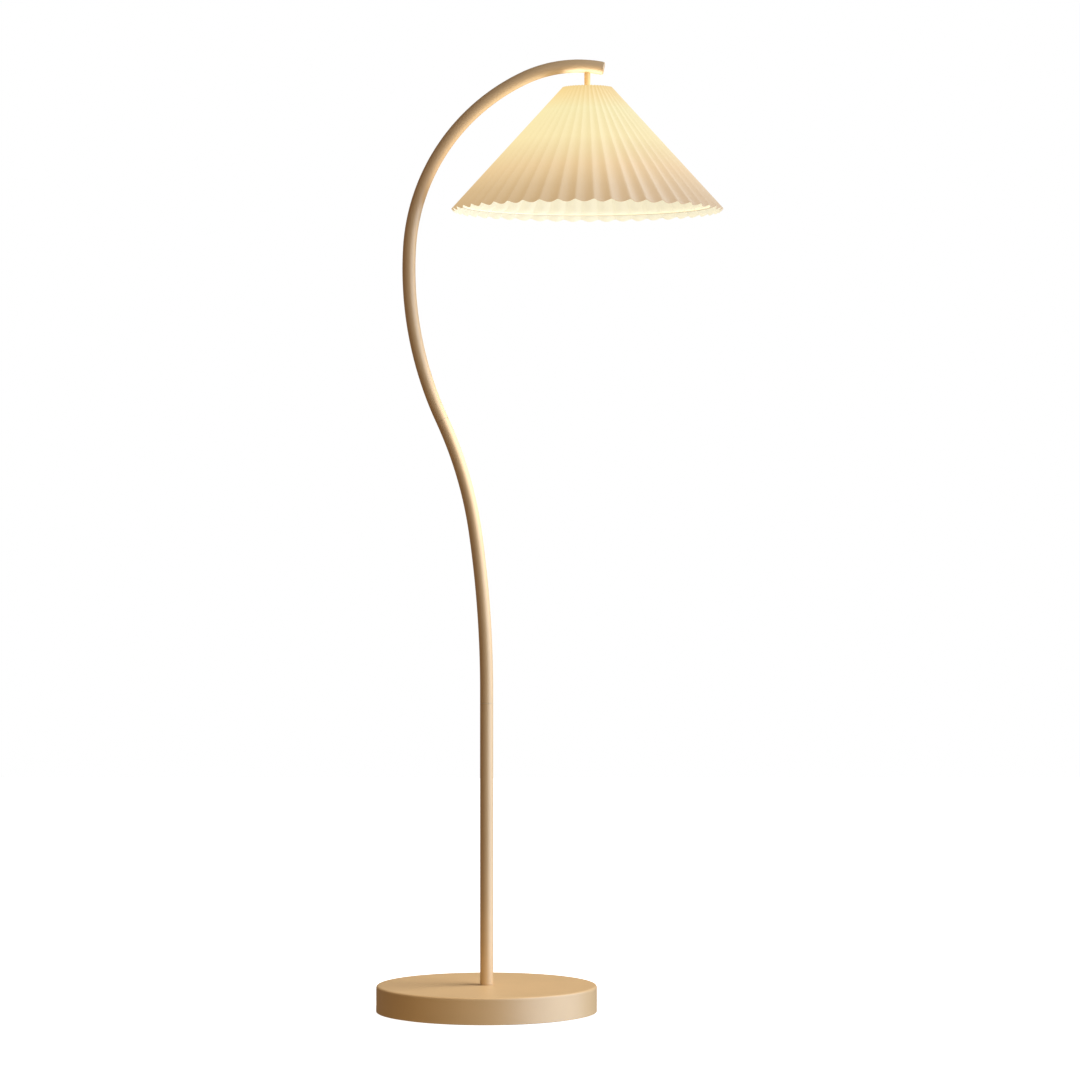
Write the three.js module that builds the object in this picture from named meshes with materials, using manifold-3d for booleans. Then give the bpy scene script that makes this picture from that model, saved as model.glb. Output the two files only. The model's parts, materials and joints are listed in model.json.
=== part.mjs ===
// Arc floor lamp: a round weighted base, an S-curved tube in three sections, and a pleated cone shade
// that hangs from the arm on a short stem. Millimetres, +Z up. The origin is on the floor, on the axis of
// the pole's straight lower section. The tube's curve lies in the XZ plane and leans over towards +X.
import * as THREE from "three";
import { mergeVertices } from "three/addons/utils/BufferGeometryUtils.js";
import Module from "manifold-3d";

const wasm = await Module();
wasm.setup();

// ---- Driving dimensions -------------------------------------------------------------------------------
const GAP = 0.3; // left between pieces that touch

// Base
const BASE_RADIUS = 186;
const BASE_TOP = 45.5;
const BASE_EDGE_ROUND = 4.5;
const COVER_WALL = 1.5;
const COVER_BOTTOM = 1.2; // the rim hangs round the pad, just clear of the floor
const PAD_RADIUS = 180;
const PAD_THICKNESS = 2.5;
const PLATE_THICKNESS = 2;
const PLATE_HOLE_RADIUS = 20;
const WEIGHT_RADIUS = 145;
const WEIGHT_THICKNESS = 18;
const WEIGHT_WEB = 5.6; // iron left above the counterbore
const COUNTERBORE_RADIUS = 22;
const SPACER_RADIUS = 24;
const SCREW_CIRCLE_RADIUS = 110;
const SCREW_COUNT = 4;
const SCREW_RADIUS = 2;
const SCREW_HEAD_RADIUS = 4;
const SCREW_LENGTH = 12;
const GLAND_HEIGHT = 13;
const GLAND_BORE_RADIUS = 3.5;
const GLAND_HOLE_RADIUS = 6;
const GLAND_FLANGE_RADIUS = 8;
const BLOCK_SIZE = { x: 24, y: 16, z: 12 };
const BLOCK_CENTRE_Y = 160;
const LEAD_RADIUS = 2;
const LEAD_HEIGHT_IN_BASE = 7.3;

// M10 hollow thread, used for the pole's nipple and for the stem
const THREAD_RADIUS = 5;
const THREAD_BORE_RADIUS = 3.6;
const THREAD_HOLE_RADIUS = THREAD_RADIUS + GAP;

// Pole
const TUBE_RADIUS = 11;
const TUBE_BORE_RADIUS = 9.5;
const STRAIGHT_TOP = 539.5;
const POLE_BENDS = [
  { radius: 1900, turn: 8.1 }, // degrees, positive leans away from the shade
  { radius: 680, turn: 16.7 },
  { radius: 605, turn: -28.1 },
  { radius: 338, turn: -61.1 },
  { radius: 215, turn: -36.4 },
];
const LOWER_SEAM = 474; // lengths along the pole from its foot
const UPPER_SEAM = 960;
const JOINER_HALF_LENGTH = 28;
const JOINER_RADIUS = 9.05;
const END_CAP_THICKNESS = 3.2;
const END_CAP_ROUND = 2.2;

// Stem and lampholder, on one vertical axis under the arm
const STEM_X = 169.5;
const STEM_BOTTOM = 1537;
const CAP_TOP = 1549;
const FLANGE_TOP = 1527.7;
const FLANGE_RADIUS = 22;
const SKIRT_RADIUS = 19.5;
const SKIRT_BORE_RADIUS = 16.5;
const SKIRT_BOTTOM = 1485;
const SHELL_RADIUS = 14;
const SHELL_BORE_RADIUS = 13.3;

// Shade
const SHADE_TOP = 1556;
const SHADE_HEM = 1351;
const SHADE_TOP_RADIUS = 41.5;
const SHADE_HEM_RADIUS = 229;
const PLEAT_COUNT = 48;
const FIRST_RIDGE = 2.1; // degrees from +X round to the first outward fold
const PLEAT_DEPTH_AT_HEM = 6.5;
const FABRIC_THICKNESS = 1;
const WIRE_RADIUS = 1.5;

// Bulb, E27 with a 60 mm globe
const BULB_TIP = 1509;
const BULB_CAP_RADIUS = 13.05;
const BULB_RADIUS = 30;
const BULB_LENGTH = 108;
const GLASS_WALL = 1;

// Facets round a full turn
const LARGE_ROUND = 64;
const TUBE_ROUND = 16;
const SMALL_ROUND = 16;

// ---- Materials ----------------------------------------------------------------------------------------
const finish = (color, roughness, metalness) => ({ color, roughness, metalness });
const SAND_PAINT = finish(0xc3a178, 0.42, 0.25);
const CAST_IRON = finish(0x4a4846, 0.75, 0.7);
const ZINC_STEEL = finish(0xb8babc, 0.38, 0.9);
const BRASS = finish(0xc9a25a, 0.3, 0.95);
const PALE_FOAM = finish(0xd6cdbd, 0.95, 0);
const BLACK_PLASTIC = finish(0x252423, 0.55, 0);
const WHITE_PLASTIC = finish(0xe8e4da, 0.5, 0);
const WHITE_CERAMIC = finish(0xefece4, 0.35, 0);
const LEAD_JACKET = finish(0xd9c9ad, 0.6, 0);
const WHITE_WIRE = finish(0xece6da, 0.5, 0.3);
const SHADE_FABRIC = finish(0xead2ac, 0.9, 0);
const OPAL_GLASS = finish(0xfff4dc, 0.2, 0);

// ---- Geometry helpers ---------------------------------------------------------------------------------
const radians = THREE.MathUtils.degToRad;

// A closed solid of revolution about Z from [radius, height] points, listed anticlockwise.
function turned(points, segments = SMALL_ROUND) {
  const profile = points.map(([radius, height]) => new THREE.Vector2(radius, height));
  return new THREE.LatheGeometry(profile, segments).rotateX(Math.PI / 2);
}

// Points of a profile's upper outer corner, rounded off.
function rounded(radius, top, round) {
  return [0, 30, 60, 90].map((degrees) => [
    radius - round + round * Math.cos(radians(degrees)),
    top - round + round * Math.sin(radians(degrees)),
  ]);
}

function disc(radius, low, high, segments = SMALL_ROUND) {
  return turned([[0, low], [radius, low], [radius, high], [0, high]], segments);
}

function pipe(inner, outer, low, high, segments = SMALL_ROUND) {
  return turned([[inner, low], [outer, low], [outer, high], [inner, high], [inner, low]], segments);
}

function wireRing(ringRadius, height, facets, sections = 6) {
  return new THREE.TorusGeometry(ringRadius, WIRE_RADIUS, sections, facets).translate(0, 0, height);
}

function hexagonNut(acrossFlats, low, high) {
  const corner = acrossFlats / 2 / Math.cos(radians(30));
  const outline = new THREE.Shape();
  for (let i = 0; i < 6; i++) {
    const angle = radians(60 * i);
    const place = i === 0 ? "moveTo" : "lineTo";
    outline[place](corner * Math.cos(angle), corner * Math.sin(angle));
  }
  outline.closePath();
  outline.holes.push(new THREE.Path().absarc(0, 0, THREAD_HOLE_RADIUS, 0, 2 * Math.PI, true));
  const options = { depth: high - low, bevelEnabled: false, curveSegments: SMALL_ROUND / 2 };
  return new THREE.ExtrudeGeometry(outline, options).translate(0, 0, low);
}

function toSolid(geometry) {
  const bare = geometry.clone();
  bare.deleteAttribute("normal");
  bare.deleteAttribute("uv");
  const merged = mergeVertices(bare, 1e-3);
  const vertProperties = merged.getAttribute("position").array;
  const triVerts = new Uint32Array(merged.index.array);
  return new wasm.Manifold(new wasm.Mesh({ numProp: 3, vertProperties, triVerts }));
}

function toGeometry(solid) {
  const mesh = solid.getMesh();
  const geometry = new THREE.BufferGeometry();
  geometry.setAttribute("position", new THREE.BufferAttribute(mesh.vertProperties, 3));
  geometry.setIndex(new THREE.BufferAttribute(mesh.triVerts, 1));
  geometry.computeVertexNormals();
  return geometry;
}

function cut(body, ...tools) {
  return toGeometry(tools.reduce((left, tool) => left.subtract(toSolid(tool)), toSolid(body)));
}

function join(body, ...others) {
  return toGeometry(others.reduce((left, other) => left.add(toSolid(other)), toSolid(body)));
}

// A straight round bar from one point to another.
function bar(from, to, radius, segments) {
  const path = new THREE.LineCurve3(from, to);
  const outline = new THREE.Shape().absarc(0, 0, radius, 0, 2 * Math.PI);
  const options = { steps: 1, curveSegments: segments / 2, extrudePath: path, bevelEnabled: false };
  return new THREE.ExtrudeGeometry(outline, options);
}

function mesh(name, geometry, look) {
  const piece = new THREE.Mesh(geometry, new THREE.MeshStandardMaterial(look));
  piece.name = name;
  return piece;
}

function groupOf(...pieces) {
  const group = new THREE.Group();
  group.add(...pieces.flat());
  return group;
}

// ---- The pole's centreline ----------------------------------------------------------------------------
const POLE_FOOT = BASE_TOP + GAP;
const bendLength = ({ radius, turn }) => radius * radians(Math.abs(turn));
const POLE_LENGTH = POLE_BENDS.reduce((sum, bend) => sum + bendLength(bend), STRAIGHT_TOP - POLE_FOOT);

// The centre point at a length from the foot: a straight rise, then the bends, each tangent to the last.
function poleAt(length) {
  const straight = STRAIGHT_TOP - POLE_FOOT;
  if (length <= straight) return new THREE.Vector3(0, 0, POLE_FOOT + length);
  let [x, z, heading, left] = [0, STRAIGHT_TOP, 90, length - straight];
  for (const bend of POLE_BENDS) {
    const part = Math.min(1, left / bendLength(bend));
    const signed = bend.radius * Math.sign(bend.turn);
    const next = heading + bend.turn * part;
    x += signed * (Math.sin(radians(next)) - Math.sin(radians(heading)));
    z -= signed * (Math.cos(radians(next)) - Math.cos(radians(heading)));
    heading = next;
    left -= bendLength(bend);
    if (left <= 0) break;
  }
  return new THREE.Vector3(x, 0, z);
}

class PoleCurve extends THREE.Curve {
  constructor(from, to) {
    super();
    this.from = from;
    this.to = to;
  }
  getPoint(t) {
    return poleAt(this.from + (this.to - this.from) * t);
  }
}

// A round section swept along a stretch of the pole, hollow when it has an inner radius.
function sweptTube(from, to, outer, inner, steps) {
  const section = new THREE.Shape().absarc(0, 0, outer, 0, 2 * Math.PI);
  if (inner > 0) section.holes.push(new THREE.Path().absarc(0, 0, inner, 0, 2 * Math.PI, true));
  const extrudePath = new PoleCurve(from, to);
  const options = { steps, curveSegments: TUBE_ROUND / 2, extrudePath, bevelEnabled: false };
  return new THREE.ExtrudeGeometry(section, options);
}

// ---- Base ---------------------------------------------------------------------------------------------
const PLATE_BOTTOM = PAD_THICKNESS + GAP;
const PLATE_TOP = PLATE_BOTTOM + PLATE_THICKNESS;
const WEIGHT_BOTTOM = PLATE_TOP + GAP;
const WEIGHT_TOP = WEIGHT_BOTTOM + WEIGHT_THICKNESS;
const COUNTERBORE_TOP = WEIGHT_TOP - WEIGHT_WEB;
const COVER_UNDERSIDE = BASE_TOP - COVER_WALL;

const screwPlaces = Array.from({ length: SCREW_COUNT }, (_, i) => {
  const angle = radians(45 + (360 / SCREW_COUNT) * i);
  return [SCREW_CIRCLE_RADIUS * Math.cos(angle), SCREW_CIRCLE_RADIUS * Math.sin(angle)];
});

function screwShape(clearance) {
  const shank = SCREW_RADIUS + clearance;
  const head = SCREW_HEAD_RADIUS + clearance;
  const tip = PLATE_BOTTOM + SCREW_LENGTH + clearance;
  return turned([[0, PLATE_BOTTOM], [head, PLATE_BOTTOM], [shank, PLATE_TOP], [shank, tip], [0, tip]], 12);
}

const screwHoles = () => screwPlaces.map(([x, y]) => screwShape(GAP).translate(x, y, 0));

function baseCover() {
  const inside = BASE_RADIUS - COVER_WALL;
  const outline = [
    [BASE_RADIUS, COVER_BOTTOM],
    ...rounded(BASE_RADIUS, BASE_TOP, BASE_EDGE_ROUND),
    [THREAD_HOLE_RADIUS, BASE_TOP],
    [THREAD_HOLE_RADIUS, COVER_UNDERSIDE],
    ...rounded(inside, COVER_UNDERSIDE, BASE_EDGE_ROUND - COVER_WALL).reverse(),
    [inside, COVER_BOTTOM],
    [BASE_RADIUS, COVER_BOTTOM],
  ];
  const glandHole = disc(GLAND_HOLE_RADIUS, -10, 10).rotateX(Math.PI / 2);
  glandHole.translate(0, inside, GLAND_HEIGHT);
  return cut(turned(outline, LARGE_ROUND), glandHole);
}

function bottomPlate() {
  const radius = BASE_RADIUS - COVER_WALL - 2 * GAP;
  return cut(pipe(PLATE_HOLE_RADIUS, radius, PLATE_BOTTOM, PLATE_TOP, LARGE_ROUND), ...screwHoles());
}

function castWeight() {
  const outline = [
    [COUNTERBORE_RADIUS, WEIGHT_BOTTOM],
    [WEIGHT_RADIUS, WEIGHT_BOTTOM],
    [WEIGHT_RADIUS, WEIGHT_TOP - 3],
    [WEIGHT_RADIUS - 3, WEIGHT_TOP],
    [THREAD_HOLE_RADIUS, WEIGHT_TOP],
    [THREAD_HOLE_RADIUS, COUNTERBORE_TOP],
    [COUNTERBORE_RADIUS, COUNTERBORE_TOP],
    [COUNTERBORE_RADIUS, WEIGHT_BOTTOM],
  ];
  const grooveWidth = 8;
  const grooveTop = LEAD_HEIGHT_IN_BASE + LEAD_RADIUS + 2;
  const groove = new THREE.BoxGeometry(grooveWidth, WEIGHT_RADIUS, grooveTop);
  groove.translate(0, COUNTERBORE_RADIUS - 4 + WEIGHT_RADIUS / 2, grooveTop / 2);
  return cut(turned(outline, 48), groove, ...screwHoles());
}

// The bush that the mains cord would come through, with a flange on each side of the cover's wall.
function cordGland() {
  const wallOutside = BASE_RADIUS + GAP;
  const wallInside = BASE_RADIUS - COVER_WALL - 2 * GAP;
  const neck = GLAND_HOLE_RADIUS - GAP;
  const outline = [
    [GLAND_BORE_RADIUS, wallInside - 3],
    [GLAND_FLANGE_RADIUS - 1, wallInside - 3],
    [GLAND_FLANGE_RADIUS - 1, wallInside],
    [neck, wallInside],
    [neck, wallOutside],
    [GLAND_FLANGE_RADIUS, wallOutside],
    [GLAND_FLANGE_RADIUS - 1, wallOutside + 2],
    [GLAND_BORE_RADIUS, wallOutside + 2],
    [GLAND_BORE_RADIUS, wallInside - 3],
  ];
  return turned(outline).rotateX(-Math.PI / 2).translate(0, 0, GLAND_HEIGHT);
}

const TERMINAL_SPREAD = 5;
const TERMINAL_SCREW_TOP = PLATE_TOP + GAP + BLOCK_SIZE.z - 1;

function terminalBlock() {
  const low = PLATE_TOP + GAP;
  const block = new THREE.BoxGeometry(BLOCK_SIZE.x, BLOCK_SIZE.y, BLOCK_SIZE.z);
  block.translate(0, BLOCK_CENTRE_Y, low + BLOCK_SIZE.z / 2);
  const wireHoles = [-TERMINAL_SPREAD, TERMINAL_SPREAD].map((x) =>
    disc(2, -20, 20, 12).rotateX(Math.PI / 2).translate(x, BLOCK_CENTRE_Y, low + 4),
  );
  const screwPits = [-TERMINAL_SPREAD, TERMINAL_SPREAD].map((x) =>
    disc(2 + GAP, low + 4, low + 20, 12).translate(x, BLOCK_CENTRE_Y, 0),
  );
  return cut(block, ...wireHoles, ...screwPits);
}

function terminalScrew(x) {
  return disc(2, TERMINAL_SCREW_TOP - 4, TERMINAL_SCREW_TOP, 12).translate(x, BLOCK_CENTRE_Y, 0);
}

function base() {
  const nut = { low: 10.9, high: COUNTERBORE_TOP - 3 };
  const spacer = pipe(THREAD_HOLE_RADIUS, SPACER_RADIUS, WEIGHT_TOP + GAP, COVER_UNDERSIDE - GAP, 24);
  const screws = screwPlaces.map(([x, y], i) =>
    mesh(`base_screw_${i + 1}`, screwShape(0).translate(x, y, 0), ZINC_STEEL),
  );
  return groupOf(
    mesh("base_pad", disc(PAD_RADIUS, 0, PAD_THICKNESS, LARGE_ROUND), PALE_FOAM),
    mesh("base_plate", bottomPlate(), ZINC_STEEL),
    mesh("base_weight", castWeight(), CAST_IRON),
    mesh("base_cover", baseCover(), SAND_PAINT),
    mesh("centre_spacer", spacer, ZINC_STEEL),
    mesh("pole_washer", pipe(THREAD_HOLE_RADIUS, 15, nut.high + GAP, COUNTERBORE_TOP - GAP), ZINC_STEEL),
    mesh("pole_nut", hexagonNut(17, nut.low, nut.high), ZINC_STEEL),
    mesh("pole_nipple", pipe(THREAD_BORE_RADIUS, THREAD_RADIUS, 10.5, POLE_FOOT + 30), ZINC_STEEL),
    screws,
    mesh("cord_gland", cordGland(), BLACK_PLASTIC),
    mesh("terminal_block", terminalBlock(), WHITE_PLASTIC),
    mesh("terminal_screw_1", terminalScrew(-TERMINAL_SPREAD), BRASS),
    mesh("terminal_screw_2", terminalScrew(TERMINAL_SPREAD), BRASS),
  );
}

// ---- Pole ---------------------------------------------------------------------------------------------
const STEM_LENGTH_ALONG_POLE = lengthWherePoleReaches(STEM_X);
const ARM_HEIGHT = poleAt(STEM_LENGTH_ALONG_POLE).z;

// The length along the upper arm at which the centreline reaches x, by halving the interval.
function lengthWherePoleReaches(x) {
  let [low, high] = [UPPER_SEAM + 500, POLE_LENGTH];
  while (high - low > 1e-4) {
    const middle = (low + high) / 2;
    if (poleAt(middle).x < x) low = middle;
    else high = middle;
  }
  return low;
}

function poleUpper() {
  const tube = sweptTube(UPPER_SEAM + GAP / 2, POLE_LENGTH, TUBE_RADIUS, TUBE_BORE_RADIUS, 26);
  const stemHole = disc(THREAD_HOLE_RADIUS, ARM_HEIGHT - TUBE_RADIUS - 5, ARM_HEIGHT);
  return cut(tube, stemHole.translate(STEM_X, 0, 0));
}

// A plug with a rounded face, turned about Z and then laid along the end of the arm.
function armEndCap() {
  const outline = [
    [0, -8],
    [TUBE_BORE_RADIUS - 2 * GAP, -8],
    [TUBE_BORE_RADIUS - 2 * GAP, GAP],
    [TUBE_RADIUS, GAP],
    ...rounded(TUBE_RADIUS, END_CAP_THICKNESS, END_CAP_ROUND),
    [0, END_CAP_THICKNESS],
  ];
  const end = poleAt(POLE_LENGTH);
  const along = end.clone().sub(poleAt(POLE_LENGTH - 0.1)).normalize();
  const cap = mesh("arm_end_cap", turned(outline, TUBE_ROUND), SAND_PAINT);
  cap.position.copy(end);
  cap.quaternion.setFromUnitVectors(new THREE.Vector3(0, 0, 1), along);
  return cap;
}

// Steps follow the points, which lie closer together in the tight bends.
class LeadCurve extends THREE.CatmullRomCurve3 {
  getPointAt(t) {
    return this.getPoint(t);
  }
  getTangentAt(t) {
    return this.getTangent(t);
  }
}

// From the terminal block along the weight's groove, up the nipple and the pole, and down the stem.
function internalLead() {
  const bend = 6.5;
  const blockFace = BLOCK_CENTRE_Y - BLOCK_SIZE.y / 2 - GAP;
  const points = [blockFace, 120, 80, 40, 14].map((y) => new THREE.Vector3(0, y, LEAD_HEIGHT_IN_BASE));
  for (const degrees of [0, 30, 60, 90]) {
    const y = bend - bend * Math.sin(radians(degrees));
    const z = LEAD_HEIGHT_IN_BASE + bend - bend * Math.cos(radians(degrees));
    points.push(new THREE.Vector3(0, y, z));
  }
  points.push(new THREE.Vector3(0, 0, POLE_FOOT));
  const spacing = 40;
  const riseStart = STEM_LENGTH_ALONG_POLE - 38;
  for (let length = spacing; length < riseStart; length += spacing) points.push(poleAt(length));
  const lift = 4.5;
  const turnRadius = 5;
  const turnTop = ARM_HEIGHT + lift;
  points.push(new THREE.Vector3(STEM_X - 22, 0, turnTop - 1));
  for (const degrees of [0, 30, 60, 90]) {
    const x = STEM_X - turnRadius + turnRadius * Math.sin(radians(degrees));
    const z = turnTop - turnRadius + turnRadius * Math.cos(radians(degrees));
    points.push(new THREE.Vector3(x, 0, z));
  }
  for (const z of [STEM_BOTTOM + 25, STEM_BOTTOM + 2, INSULATOR_TOP + 4]) {
    points.push(new THREE.Vector3(STEM_X, 0, z));
  }
  const section = new THREE.Shape().absarc(0, 0, LEAD_RADIUS, 0, 2 * Math.PI);
  const extrudePath = new LeadCurve(points);
  const steps = points.length - 1;
  return new THREE.ExtrudeGeometry(section, { steps, curveSegments: 4, extrudePath, bevelEnabled: false });
}

function pole() {
  const joiner = (seam, steps) =>
    sweptTube(seam - JOINER_HALF_LENGTH, seam + JOINER_HALF_LENGTH, JOINER_RADIUS, 7, steps);
  const footInsert = pipe(THREAD_HOLE_RADIUS, TUBE_BORE_RADIUS - GAP, POLE_FOOT, POLE_FOOT + 25);
  const lower = sweptTube(0, LOWER_SEAM - GAP / 2, TUBE_RADIUS, TUBE_BORE_RADIUS, 1);
  const middle = sweptTube(LOWER_SEAM + GAP / 2, UPPER_SEAM - GAP / 2, TUBE_RADIUS, TUBE_BORE_RADIUS, 16);
  return groupOf(
    mesh("pole_foot_insert", footInsert, ZINC_STEEL),
    mesh("pole_lower", lower, SAND_PAINT),
    mesh("lower_joiner", joiner(LOWER_SEAM, 1), ZINC_STEEL),
    mesh("pole_middle", middle, SAND_PAINT),
    mesh("upper_joiner", joiner(UPPER_SEAM, 2), ZINC_STEEL),
    mesh("pole_upper", poleUpper(), SAND_PAINT),
    armEndCap(),
    mesh("internal_lead", internalLead(), LEAD_JACKET),
  );
}

// ---- Stem and lampholder, each drawn about its own axis at x = 0 ---------------------------------------
const ARM_BORE_FLOOR = ARM_HEIGHT - TUBE_BORE_RADIUS;
const SADDLE_TOP = ARM_BORE_FLOOR + 3;
const STEM_NUT_TOP = SADDLE_TOP + GAP + 3;
const STEM_TOP = STEM_NUT_TOP + 0.7;
const FLANGE_BOTTOM = FLANGE_TOP - 3.7;
const INSULATOR_TOP = FLANGE_BOTTOM - 4.3;
const INSULATOR_BOTTOM = INSULATOR_TOP - 7.7;

// A washer with a flat top and a rounded underside that beds on the floor of the arm's bore.
function stemSaddle() {
  const bed = sweptTube(
    STEM_LENGTH_ALONG_POLE - 12,
    STEM_LENGTH_ALONG_POLE + 12,
    TUBE_BORE_RADIUS - GAP,
    0,
    2,
  ).translate(-STEM_X, 0, 0);
  const block = new THREE.BoxGeometry(14, 20, 10).translate(0, 0, SADDLE_TOP - 5);
  const hole = toSolid(disc(THREAD_HOLE_RADIUS, SADDLE_TOP - 20, SADDLE_TOP + 20));
  return toGeometry(toSolid(block).intersect(toSolid(bed)).subtract(hole));
}

function lampholderCap() {
  const bottom = FLANGE_TOP + GAP;
  return turned([
    [SKIRT_BORE_RADIUS, bottom],
    [SKIRT_RADIUS, bottom],
    [SKIRT_RADIUS, bottom + 6],
    [15, CAP_TOP - 4],
    [9, CAP_TOP],
    [THREAD_HOLE_RADIUS, CAP_TOP],
    [THREAD_HOLE_RADIUS, CAP_TOP - 10],
    [10, CAP_TOP - 10],
    [SKIRT_BORE_RADIUS, bottom + 6],
    [SKIRT_BORE_RADIUS, bottom],
  ], 24);
}

function lampholderBody() {
  const wireHole = 6;
  const web = INSULATOR_TOP + GAP;
  return turned([
    [SKIRT_BORE_RADIUS, SKIRT_BOTTOM],
    [SKIRT_RADIUS, SKIRT_BOTTOM],
    [SKIRT_RADIUS, FLANGE_BOTTOM],
    [FLANGE_RADIUS, FLANGE_BOTTOM],
    [FLANGE_RADIUS, FLANGE_TOP],
    [wireHole, FLANGE_TOP],
    [wireHole, web],
    [SKIRT_BORE_RADIUS, web],
    [SKIRT_BORE_RADIUS, SKIRT_BOTTOM],
  ], 24);
}

// The threaded ring that clamps the shade's spider up against the lampholder's flange.
function shadeClampRing() {
  const top = SPIDER_BOTTOM - GAP;
  const inner = SKIRT_RADIUS + GAP;
  return turned([
    [inner, top - 12],
    [23, top - 12],
    [23, top - 3],
    [27, top - 3],
    [27, top],
    [inner, top],
    [inner, top - 12],
  ], 24);
}

function stemAndLampholder() {
  const contactTop = INSULATOR_BOTTOM - GAP;
  const shellTop = INSULATOR_BOTTOM - GAP;
  const group = groupOf(
    mesh("stem_tube", pipe(THREAD_BORE_RADIUS, THREAD_RADIUS, STEM_BOTTOM, STEM_TOP), SAND_PAINT),
    mesh("stem_saddle", stemSaddle(), ZINC_STEEL),
    mesh("stem_nut", hexagonNut(14, SADDLE_TOP + GAP, STEM_NUT_TOP), ZINC_STEEL),
    mesh("lampholder_cap", lampholderCap(), WHITE_PLASTIC),
    mesh("lampholder_body", lampholderBody(), WHITE_PLASTIC),
    mesh("lampholder_insulator", disc(16, INSULATOR_BOTTOM, INSULATOR_TOP, 20), WHITE_CERAMIC),
    mesh("centre_contact", disc(4, BULB_TIP + GAP, contactTop, 12), BRASS),
    mesh("screw_shell", pipe(SHELL_BORE_RADIUS, SHELL_RADIUS, SKIRT_BOTTOM + 3, shellTop, 24), BRASS),
    mesh("shade_clamp_ring", shadeClampRing(), WHITE_PLASTIC),
  );
  group.position.x = STEM_X;
  return group;
}

// ---- Shade, drawn about its own axis at x = 0 ----------------------------------------------------------
const SPIDER_TOP = FLANGE_BOTTOM - GAP;
const SPIDER_BOTTOM = SPIDER_TOP - 1.5;
const SHADE_SLOPE = (SHADE_HEM_RADIUS - SHADE_TOP_RADIUS) / (SHADE_TOP - SHADE_HEM);
const SLANT = Math.hypot(1, SHADE_SLOPE); // slant length for each unit of height

// The radius of the fabric's inner face, at the bottom of the inward folds, at a height.
function fabricInsideRadius(height) {
  const outside = SHADE_TOP_RADIUS + SHADE_SLOPE * (SHADE_TOP - height);
  const depth = (PLEAT_DEPTH_AT_HEM * outside) / SHADE_HEM_RADIUS + FABRIC_THICKNESS;
  return outside - depth * SLANT;
}

// Straight folds that fan out from the cone's apex. Each step round the cone adds a top and a hem point on
// the outer face and the same two on the inner face.
function pleatedCone() {
  const stepsPerPleat = 6;
  const count = PLEAT_COUNT * stepsPerPleat;
  const inward = new THREE.Vector2(-1, -SHADE_SLOPE).divideScalar(SLANT); // radius, height
  const corners = [
    new THREE.Vector2(SHADE_TOP_RADIUS, SHADE_TOP),
    new THREE.Vector2(SHADE_HEM_RADIUS, SHADE_HEM),
  ];
  const positions = [];
  for (let i = 0; i < count; i++) {
    const turn = (2 * Math.PI * i) / count;
    const angle = turn + radians(FIRST_RIDGE);
    const fold = (1 - Math.cos(turn * PLEAT_COUNT)) / 2;
    for (const thickness of [0, FABRIC_THICKNESS]) {
      for (const corner of corners) {
        const depth = (PLEAT_DEPTH_AT_HEM * fold * corner.x) / SHADE_HEM_RADIUS + thickness;
        const point = corner.clone().addScaledVector(inward, depth);
        positions.push(point.x * Math.cos(angle), point.x * Math.sin(angle), point.y);
      }
    }
  }
  const index = [];
  const quad = (a, b, c, d) => index.push(a, b, c, a, c, d);
  const cornersOf = (i) => [0, 1, 2, 3].map((k) => 4 * (i % count) + k);
  for (let i = 0; i < count; i++) {
    const [outTop, outHem, inTop, inHem] = cornersOf(i);
    const [nextOutTop, nextOutHem, nextInTop, nextInHem] = cornersOf(i + 1);
    quad(outHem, nextOutHem, nextOutTop, outTop);
    quad(inTop, nextInTop, nextInHem, inHem);
    quad(outTop, nextOutTop, nextInTop, inTop);
    quad(inHem, nextInHem, nextOutHem, outHem);
  }
  const geometry = new THREE.BufferGeometry();
  geometry.setAttribute("position", new THREE.Float32BufferAttribute(positions, 3));
  geometry.setIndex(index);
  geometry.computeVertexNormals();
  return geometry;
}

// The welded wire frame in the shade's top: a ring under the fabric's edge, three arms and a flat washer.
function shadeSpider() {
  const ringHeight = SHADE_TOP - 3;
  const ringRadius = fabricInsideRadius(ringHeight) - (WIRE_RADIUS + GAP) * SLANT;
  const hub = pipe(SKIRT_RADIUS + GAP, 26, SPIDER_BOTTOM, SPIDER_TOP, 24);
  const arms = [90, 210, 330].map((degrees) =>
    bar(
      new THREE.Vector3(24.4, 0, SPIDER_TOP - 0.5),
      new THREE.Vector3(ringRadius, 0, ringHeight),
      WIRE_RADIUS,
      6,
    ).rotateZ(radians(degrees)),
  );
  return join(hub, wireRing(ringRadius, ringHeight, 36), ...arms);
}

function hemRing() {
  const height = SHADE_HEM + 6;
  return wireRing(fabricInsideRadius(height) - (WIRE_RADIUS + GAP) * SLANT, height, 64);
}

function shade() {
  const group = groupOf(
    mesh("pleated_shade", pleatedCone(), SHADE_FABRIC),
    mesh("shade_spider", shadeSpider(), WHITE_WIRE),
    mesh("hem_ring", hemRing(), WHITE_WIRE),
  );
  group.position.x = STEM_X;
  return group;
}

// ---- Bulb, drawn about its own axis with its tip at z = 0 ----------------------------------------------
function bulbGlobe() {
  const neck = BULB_CAP_RADIUS - 1.2;
  const centre = BULB_RADIUS - BULB_LENGTH;
  const shell = (shrink) => {
    const radius = BULB_RADIUS - shrink;
    const round = [-90, -65, -40, -15, 10, 35].map((degrees) => [
      degrees === -90 ? 0 : radius * Math.cos(radians(degrees)),
      centre + radius * Math.sin(radians(degrees)),
    ]);
    return [...round, [neck + 4 - shrink, -42], [neck - shrink, -28], [neck - shrink, -9]];
  };
  return turned([...shell(0), ...shell(GLASS_WALL).reverse()], 20);
}

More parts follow.
